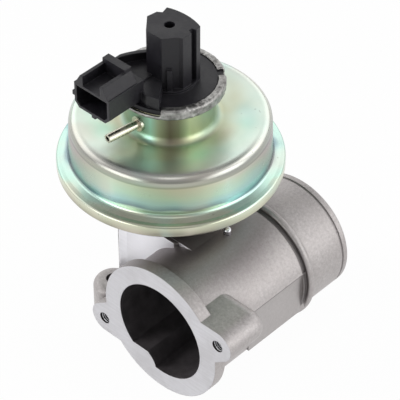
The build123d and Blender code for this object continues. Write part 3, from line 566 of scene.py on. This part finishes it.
spring_wire = metal("spring_wire", tint(120, 122, 126), tint(160, 162, 166), 0.3, scale=2400.0)
tinned_brass = metal("tinned_brass", tint(190, 186, 172), tint(214, 210, 198), 0.22, depth=0.04)
wiper_metal = metal("wiper_bronze", tint(188, 150, 92), tint(208, 170, 110), 0.25, depth=0.05)
screw_steel = metal("black_oxide_screw", tint(52, 52, 56), tint(84, 84, 88), 0.38)
rubber = plastic("diaphragm_rubber", tint(34, 32, 31), tint(48, 46, 44), 0.7, scale=2200.0)
seal_rubber = plastic("seal_rubber", tint(92, 50, 36), tint(120, 66, 48), 0.6, scale=2200.0)
gasket_sheet = plastic("gasket_sheet", tint(88, 92, 90), tint(122, 126, 122), 0.8, scale=1200.0, depth=0.5)
pale_nylon = plastic("pale_nylon", tint(206, 200, 184), tint(222, 217, 204), 0.4)
board_resin = plastic("board_resin", tint(32, 70, 48), tint(44, 92, 62), 0.42)

finishes = {
    "valve_housing": aluminium, "locating_pin": bright_steel, "valve_seat_ring": seat_steel,
    "poppet_valve": heat_steel, "valve_stem": bright_steel, "stem_guide_bush": bronze,
    "deposit_shield": heat_steel, "stem_seal": seal_rubber, "seal_retainer": bright_steel,
    "actuator_gasket": gasket_sheet, "lower_diaphragm_shell": cone_zinc, "actuator_screws": screw_steel,
    "upper_diaphragm_shell": shell_zinc, "diaphragm": rubber, "diaphragm_piston": bright_steel,
    "diaphragm_support_plate": bright_steel, "stem_nut": bright_steel, "return_spring": spring_wire,
    "vacuum_pipe": straw_zinc, "vacuum_pipe_collar": straw_zinc, "sensor_crimp_ring": ring_metal,
    "sensor_housing": black_nylon, "sensor_seal": seal_rubber, "connector_pins": tinned_brass,
    "sensor_plunger": pale_nylon, "plunger_spring": spring_wire, "sensor_wiper": wiper_metal,
    "sensor_track_board": board_resin,
}


def dress(piece, material):
    """One material in the piece's only slot."""
    piece.data.materials.clear()
    piece.data.materials.append(material)


for node_name, finish in finishes.items():
    dress(cad[node_name], finish)
print("finished nodes:", len(finishes))

# %% [markdown]
# ## Pressed shells
# A pressed cup is a sheet turned about an axis. The outline is drawn as a few points in radius and
# height, spun into a surface, and each bend is then an edge bevel of the right radius. A Solidify modifier
# gives the sheet its thickness.

# %% Helpers for turned pieces


def finish_mesh(mesh_builder, name, body, material, centre=AXIS):
    """The object from a bmesh, moved to its place and riding on its body."""
    bmesh.ops.translate(mesh_builder, verts=mesh_builder.verts, vec=centre)
    for face in mesh_builder.faces:
        face.smooth = True
    mesh = bpy.data.meshes.new(name)
    mesh_builder.to_mesh(mesh)
    mesh_builder.free()
    piece = bpy.data.objects.new(name, mesh)
    bpy.context.scene.collection.objects.link(piece)
    dress(piece, material)
    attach(piece, body)
    print(name, len(mesh.polygons), "faces")
    return piece


def spun(outline, steps=144):
    """A bmesh of an outline in radius and height, in millimetres, turned about Z."""
    made = bmesh.new()
    corners = [made.verts.new((r * MM, 0, z * MM)) for r, z in outline]
    lines = [made.edges.new(pair) for pair in zip(corners, corners[1:])]
    bmesh.ops.spin(made, geom=corners + lines, cent=(0, 0, 0), axis=(0, 0, 1), angle=2 * pi, steps=steps,
                   use_merge=True, use_duplicate=False)
    bmesh.ops.remove_doubles(made, verts=made.verts, dist=1e-7)
    bmesh.ops.recalc_face_normals(made, faces=made.faces)
    # an open sheet has no inside, so its steepest outer face decides which way it looks
    steep = [face for face in made.faces if abs(face.normal.z) < 0.9]
    outermost = max(steep, key=lambda face: face.calc_center_median().xy.length)
    if outermost.normal.xy.dot(outermost.calc_center_median().xy) < 0:
        bmesh.ops.reverse_faces(made, faces=made.faces)
    return made


SAME_PLACE = 2e-6


def ring_edges(made, radius, z):
    """The edges that run round the axis at a radius and height."""
    def near(vert):
        return abs(vert.co.xy.length - radius * MM) < SAME_PLACE and abs(vert.co.z - z * MM) < SAME_PLACE
    return [edge for edge in made.edges if all(near(vert) for vert in edge.verts)]


def round_bends(made, outline, bends, segments=6):
    """Bevel each corner of a spun outline to its bend radius, in millimetres."""
    for index, bend in bends.items():
        before, corner, after = (Vector(outline[i]) for i in (index - 1, index, index + 1))
        turn = (corner - before).angle(after - corner)
        bmesh.ops.bevel(made, geom=ring_edges(made, *corner), offset=bend * tan(turn / 2) * MM,
                        offset_type="OFFSET", affect="EDGES", segments=segments, profile=0.5, material=-1)


def sheet_metal(piece, thickness, side):
    """Give a surface the thickness of its sheet: side -1 is inwards, 1 outwards."""
    wall = piece.modifiers.new("sheet", "SOLIDIFY")
    wall.thickness = thickness * MM
    wall.offset = side
    wall.use_even_offset = True
    smooth = piece.modifiers.new("weighted_normals", "WEIGHTED_NORMAL")
    smooth.keep_sharp = True


# %% [markdown]
# The upper cup has the neck for the sensor, a nearly flat roof, the wall, and the rim, whose edge is
# curled under the lower cup to hold the diaphragm.

# %% Upper diaphragm shell
SHEET = 1.2
NECK_TOP, NECK_FOOT, ROOF, WALL_FOOT, RIM_TOP, RIM_FOOT = 105.5, 88.0, 89.9, 69.0, 67.2, 61.0
upper_outline = [(23.4, NECK_TOP), (20.0, NECK_TOP), (20.0, NECK_FOOT), (45.3, ROOF), (45.9, WALL_FOOT),
                 (49.2, 67.6), (51.6, RIM_TOP), (51.6, RIM_FOOT), (48.8, RIM_FOOT)]
upper = spun(upper_outline)
round_bends(upper, upper_outline, {1: 1.5, 2: 3.8, 3: 4.2, 4: 1.8, 5: 1.0, 6: 1.3, 7: 1.8})
upper_shell = finish_mesh(upper, "upper_shell", "housing", shell_zinc)
sheet_metal(upper_shell, SHEET, -1)
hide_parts("upper_diaphragm_shell")

# %% Lower diaphragm shell
FLOOR_OF_CUP = 31.3
lower_outline = [(5.8, FLOOR_OF_CUP), (18.0, FLOOR_OF_CUP), (43.6, 56.5), (45.2, 62.2), (49.6, 62.2)]
lower = spun(lower_outline)
round_bends(lower, lower_outline, {1: 4.0, 2: 5.0, 3: 1.4})
lower_shell = finish_mesh(lower, "lower_shell", "housing", cone_zinc)
sheet_metal(lower_shell, SHEET, -1)
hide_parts("lower_diaphragm_shell")

# %% [markdown]
# ## Pedestal cheek
# The casting's pedestal carries on to the left beyond its CAD node. A cheek of the same metal stands
# against it. Its inner corners dip a little into the column, so no seam shows in the shared faces.

# %% Pedestal cheek
CHEEK_PLAN = [(-50.2, 23.4), (-43.35, 23.4), (-41.5, 23.46),
              (-41.5, 52.94), (-43.35, 53.0), (-50.2, 53.0)]
CHEEK_FOOT, CHEEK_TOP, CHEEK_ROUND = -34.97, 30.27, 2.0
cheek = bmesh.new()
foot_face = cheek.faces.new([cheek.verts.new((x * MM, y * MM, CHEEK_FOOT * MM)) for x, y in CHEEK_PLAN])
raised = bmesh.ops.extrude_face_region(cheek, geom=[foot_face])
raised_verts = [item for item in raised["geom"] if isinstance(item, bmesh.types.BMVert)]
bmesh.ops.translate(cheek, verts=raised_verts, vec=(0, 0, (CHEEK_TOP - CHEEK_FOOT) * MM))
upright = [edge for edge in cheek.edges if all(vert.co.x < -50.0 * MM for vert in edge.verts)
           and abs(edge.verts[0].co.y - edge.verts[1].co.y) < 1e-6]
bmesh.ops.bevel(cheek, geom=upright, offset=CHEEK_ROUND * MM, offset_type="OFFSET", affect="EDGES",
                segments=6, profile=0.5, material=-1)
bmesh.ops.recalc_face_normals(cheek, faces=cheek.faces)
pedestal_cheek = finish_mesh(cheek, "pedestal_cheek", "housing", aluminium,
                             centre=(0, 0, 0))
cheek_smooth = pedestal_cheek.modifiers.new("weighted_normals", "WEIGHTED_NORMAL")
cheek_smooth.keep_sharp = True

# %% [markdown]
# ## Crimp ring
# The ring that holds the sensor is rolled over by hand-held tools, so it is dented and its edges are soft.
# A copy of the CAD ring is merged, remeshed into small even faces, and pushed in and out by noise.

# %% Crimp ring
def rolled_copy(node_name, name, voxel):
    """An evenly meshed copy of a CAD node, with its sharp edges gone."""
    builder = bmesh.new()
    builder.from_mesh(cad[node_name].data)
    bmesh.ops.remove_doubles(builder, verts=builder.verts, dist=1e-6)
    mesh = bpy.data.meshes.new(name)
    builder.to_mesh(mesh)
    builder.free()
    rough = bpy.data.objects.new(name + "_rough", mesh)
    bpy.context.scene.collection.objects.link(rough)
    remesh = rough.modifiers.new("remesh", "REMESH")
    remesh.mode = "VOXEL"
    remesh.voxel_size = voxel * MM
    even = bpy.data.meshes.new_from_object(rough.evaluated_get(bpy.context.evaluated_depsgraph_get()))
    bpy.data.objects.remove(rough)
    made = bmesh.new()
    made.from_mesh(even)
    for _ in range(2):
        bmesh.ops.smooth_vert(made, verts=made.verts, factor=0.5,
                              use_axis_x=True, use_axis_y=True, use_axis_z=True)
    return made


DENT_DEPTH = 0.16
crimp = rolled_copy("sensor_crimp_ring", "crimp", 0.32)
crimp.normal_update()
for vert in crimp.verts:
    dents = noise.noise(vert.co * 420.0) + 0.6 * noise.noise(vert.co * 1100.0)
    vert.co += vert.normal * dents * DENT_DEPTH * MM
crimp_ring = finish_mesh(crimp, "crimp_ring", "housing", ring_metal, centre=(0, 0, 0))
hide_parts("sensor_crimp_ring")

# %% [markdown]
# ## Threads, springs and the rolling diaphragm
# A screw thread is a small triangle spun about the hole while it moves along it: the spin operator
# takes that step as `dvec`. A coil spring is a circle spun the same way.

# %% Helix helper


def helix(section, turns, pitch, steps_per_turn=24):
    """A bmesh of a closed section in radius and height, spun while it climbs."""
    made = bmesh.new()
    corners = [made.verts.new((r * MM, 0, z * MM)) for r, z in section]
    lines = [made.edges.new(pair) for pair in zip(corners, corners[1:] + corners[:1])]
    steps = int(turns * steps_per_turn)
    bmesh.ops.spin(made, geom=corners + lines, cent=(0, 0, 0), axis=(0, 0, 1), angle=2 * pi * turns,
                   dvec=(0, 0, pitch * MM / steps_per_turn), steps=steps, use_duplicate=False)
    bmesh.ops.holes_fill(made, edges=[edge for edge in made.edges if edge.is_boundary], sides=0)
    bmesh.ops.recalc_face_normals(made, faces=made.faces)
    return made


def wire_section(radius, wire_radius, z, corners=12):
    """A circle in radius and height for a spring's wire."""
    return [(radius + wire_radius * cos(2 * pi * i / corners), z + wire_radius * sin(2 * pi * i / corners))
            for i in range(corners)]


# %% Threads in the flange ears
EAR = Vector((EAR_X, 0, EAR_Z)) * MM
THREAD_PITCH, THREAD_DEPTH, THREAD_RADIUS, THREAD_START = 1.0, 0.42, 3.03, 0.9
THREAD_FOOT_HALF, THREAD_CREST_HALF = 0.42, 0.06
THREAD_SECTION = [(THREAD_RADIUS, -THREAD_FOOT_HALF), (THREAD_RADIUS - THREAD_DEPTH, -THREAD_CREST_HALF),
                  (THREAD_RADIUS - THREAD_DEPTH, THREAD_CREST_HALF), (THREAD_RADIUS, THREAD_FOOT_HALF)]
# the ridges are tapped into the casting but take the bright steel finish: a painted highlight on their crests
for side, label, thread_turns in ((1, "right", 13), (-1, "left", 5)):
    ridge = helix(THREAD_SECTION, thread_turns, THREAD_PITCH)
    bmesh.ops.rotate(ridge, verts=ridge.verts, cent=(0, 0, 0), matrix=Matrix.Rotation(-pi / 2, 3, "X"))
    bmesh.ops.translate(ridge, verts=ridge.verts, vec=(0, THREAD_START * MM, 0))
    finish_mesh(ridge, "thread_" + label, "housing", bright_steel, centre=EAR * side)

# %% Return spring
SPRING_FOOT, SPRING_HEAD, SPRING_TURNS = 60.0, 87.1, 4.5
coil = helix(wire_section(27.0, 1.5, SPRING_FOOT + 1.5), SPRING_TURNS,
             (SPRING_HEAD - SPRING_FOOT - 3.0) / SPRING_TURNS, 48)
return_spring = finish_mesh(coil, "coil_return_spring", "housing", spring_wire)
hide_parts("return_spring")
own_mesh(return_spring)

# %% Plunger spring
PLUNGER_FOOT, PLUNGER_HEAD, PLUNGER_TURNS = 111.0, 127.8, 6.0
coil = helix(wire_section(2.95, 0.45, PLUNGER_FOOT + 0.45, 8), PLUNGER_TURNS,
             (PLUNGER_HEAD - PLUNGER_FOOT - 0.9) / PLUNGER_TURNS, 32)
plunger_spring = finish_mesh(coil, "coil_plunger_spring", "housing", spring_wire)
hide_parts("plunger_spring")
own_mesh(plunger_spring)

# %% [markdown]
# The diaphragm rolls: its disc travels with the piston while its bead stays in the rim. It is made as two
# rubber sheets: a disc that rides on the valve, and a roll that stays with the housing.

# %% Diaphragm
RUBBER = 1.6
CREST = 69.4
disc_outline = [(2.7, 57.2), (37.7, 57.2), (37.7, CREST), (38.4, CREST + 0.6)]
disc = spun(disc_outline)
round_bends(disc, disc_outline, {1: 2.6})
diaphragm_disc = finish_mesh(disc, "diaphragm_disc", "valve", rubber)
sheet_metal(diaphragm_disc, RUBBER, -1)
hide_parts("diaphragm")

roll_outline = [(38.0, CREST), (42.2, CREST), (42.2, 63.9), (48.8, 63.9)]
roll = spun(roll_outline)
round_bends(roll, roll_outline, {1: 1.6, 2: 1.2})
diaphragm_roll = finish_mesh(roll, "diaphragm_roll", "housing", rubber)
sheet_metal(diaphragm_roll, RUBBER, 1)
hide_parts("diaphragm")

# %% [markdown]
# ## Studio
# Three soft boxes light the valve: a strong one from the left, a weaker one from the right and a faint
# one from above. The floor mostly glows white for the camera, like a light table, and keeps a faint
# share of the real shadow. Bright metal shows what stands round it, so mirrored rays meet a tent with
# bright windows, all other rays meet an even grey room, and the camera sees plain white.

# %% Floor and world
FLOOR_GAP, FLOOR_HALF, GLOW_SHARE = 0.2, 3.0, 0.97
FLOOR_LEVEL = cad_box[0][2] - FLOOR_GAP * MM
floor_builder = bmesh.new()
bmesh.ops.create_grid(floor_builder, x_segments=1, y_segments=1, size=FLOOR_HALF)
bmesh.ops.translate(floor_builder, verts=floor_builder.verts, vec=(0, 0, FLOOR_LEVEL))
floor_mesh = bpy.data.meshes.new("floor")
floor_builder.to_mesh(floor_mesh)
floor_builder.free()
floor = bpy.data.objects.new("floor", floor_mesh)
bpy.context.scene.collection.objects.link(floor)

floor_material, tree, shader = surface("white_floor")
shader.inputs["Base Color"].default_value = (0.86, 0.86, 0.86, 1.0)
shader.inputs["Roughness"].default_value = 0.9
glow = add(tree, "ShaderNodeEmission", {"Color": (1, 1, 1, 1), "Strength": 1.0}).outputs[0]
seen = add(tree, "ShaderNodeLightPath").outputs
shown = calc(tree, "ADD", calc(tree, "ADD", seen["Is Camera Ray"], seen["Is Glossy Ray"]),
             seen["Is Transmission Ray"], True)
direct = calc(tree, "MULTIPLY", shown, GLOW_SHARE)
blend = add(tree, "ShaderNodeMixShader", {0: direct, 1: shader.outputs[0], 2: glow}).outputs[0]
tree.links.new(blend, tree.nodes["Material Output"].inputs["Surface"])
dress(floor, floor_material)

AHEAD_TENT = 0.5
# bright windows of the tent: direction, cosine of the half width, brightness
WINDOWS = (((-0.17, -0.98, 0.08), 0.92, 2.2), ((0.97, 0.2, 0.15), 0.92, 1.6),
           ((0.28, -0.3, 0.91), 0.985, 0.7), ((0.8, 0.52, 0.33), 0.86, 0.5))
world = bpy.data.worlds.new("studio")
bpy.context.scene.world = world
world.use_nodes = True
tree = world.node_tree
direction = add(tree, "ShaderNodeTexCoord").outputs["Generated"]
east, north, height = add(tree, "ShaderNodeSeparateXYZ", {0: direction}).outputs
ahead = calc(tree, "SUBTRACT", calc(tree, "MULTIPLY", east, sin(AZIMUTH)),
             calc(tree, "MULTIPLY", north, cos(AZIMUTH)))
# away from the camera the tent is bright at half height, and dimmer at the horizon and overhead
behind_tent = calc(tree, "SUBTRACT", span(tree, height, 0.08, 0.2, 0.55, 1.34),
                   span(tree, height, 0.68, 0.8, 0.0, 1.06))
facing = span(tree, ahead, -0.2, 0.3)
tent = calc(tree, "ADD", calc(tree, "MULTIPLY", behind_tent, calc(tree, "SUBTRACT", 1.0, facing)),
            calc(tree, "MULTIPLY", facing, AHEAD_TENT))
for place, reach, brightness in WINDOWS:
    nearness = add(tree, "ShaderNodeVectorMath", {0: direction, 1: Vector(place).normalized()},
                   operation="DOT_PRODUCT")
    edge_width = (1 - reach) / 2
    window = span(tree, nearness.outputs["Value"], reach - edge_width, reach + edge_width, 0.0, brightness)
    tent = calc(tree, "ADD", tent, window)
seen = add(tree, "ShaderNodeLightPath").outputs
room = add(tree, "ShaderNodeBackground", {"Color": (0.62, 0.62, 0.63, 1), "Strength": 0.6}).outputs[0]
reflected = add(tree, "ShaderNodeBackground", {"Color": tent, "Strength": 1.0}).outputs[0]
white = add(tree, "ShaderNodeBackground", {"Color": (1, 1, 1, 1), "Strength": 1.0}).outputs[0]
mirrored = calc(tree, "ADD", seen["Is Glossy Ray"], seen["Is Transmission Ray"], True)
sky = add(tree, "ShaderNodeMixShader", {0: mirrored, 1: room, 2: reflected}).outputs[0]
sky = add(tree, "ShaderNodeMixShader", {0: seen["Is Camera Ray"], 1: sky, 2: white}).outputs[0]
tree.links.new(sky, tree.nodes["World Output"].inputs["Surface"])

# %% Lamps


def soft_box(name, place, size, power):
    """A square area lamp, places in metres, that faces the valve."""
    data = bpy.data.lights.new(name, "AREA")
    data.shape = "SQUARE"
    data.size = size
    data.energy = power
    lamp = bpy.data.objects.new(name, data)
    lamp.location = place
    target = Vector((-0.02, 0.04, 0.04))
    lamp.rotation_euler = (Vector(place) - target).to_track_quat("Z", "Y").to_euler()
    lamp.visible_glossy = False
    bpy.context.scene.collection.objects.link(lamp)


soft_box("key", (-0.72, -0.6, 0.4), 0.4, 7.0)
soft_box("fill", (0.8, 0.42, 0.36), 0.4, 3.5)
soft_box("top", (0.05, 0.25, 1.1), 0.5, 2.0)

bpy.context.scene.view_settings.view_transform = "Standard"
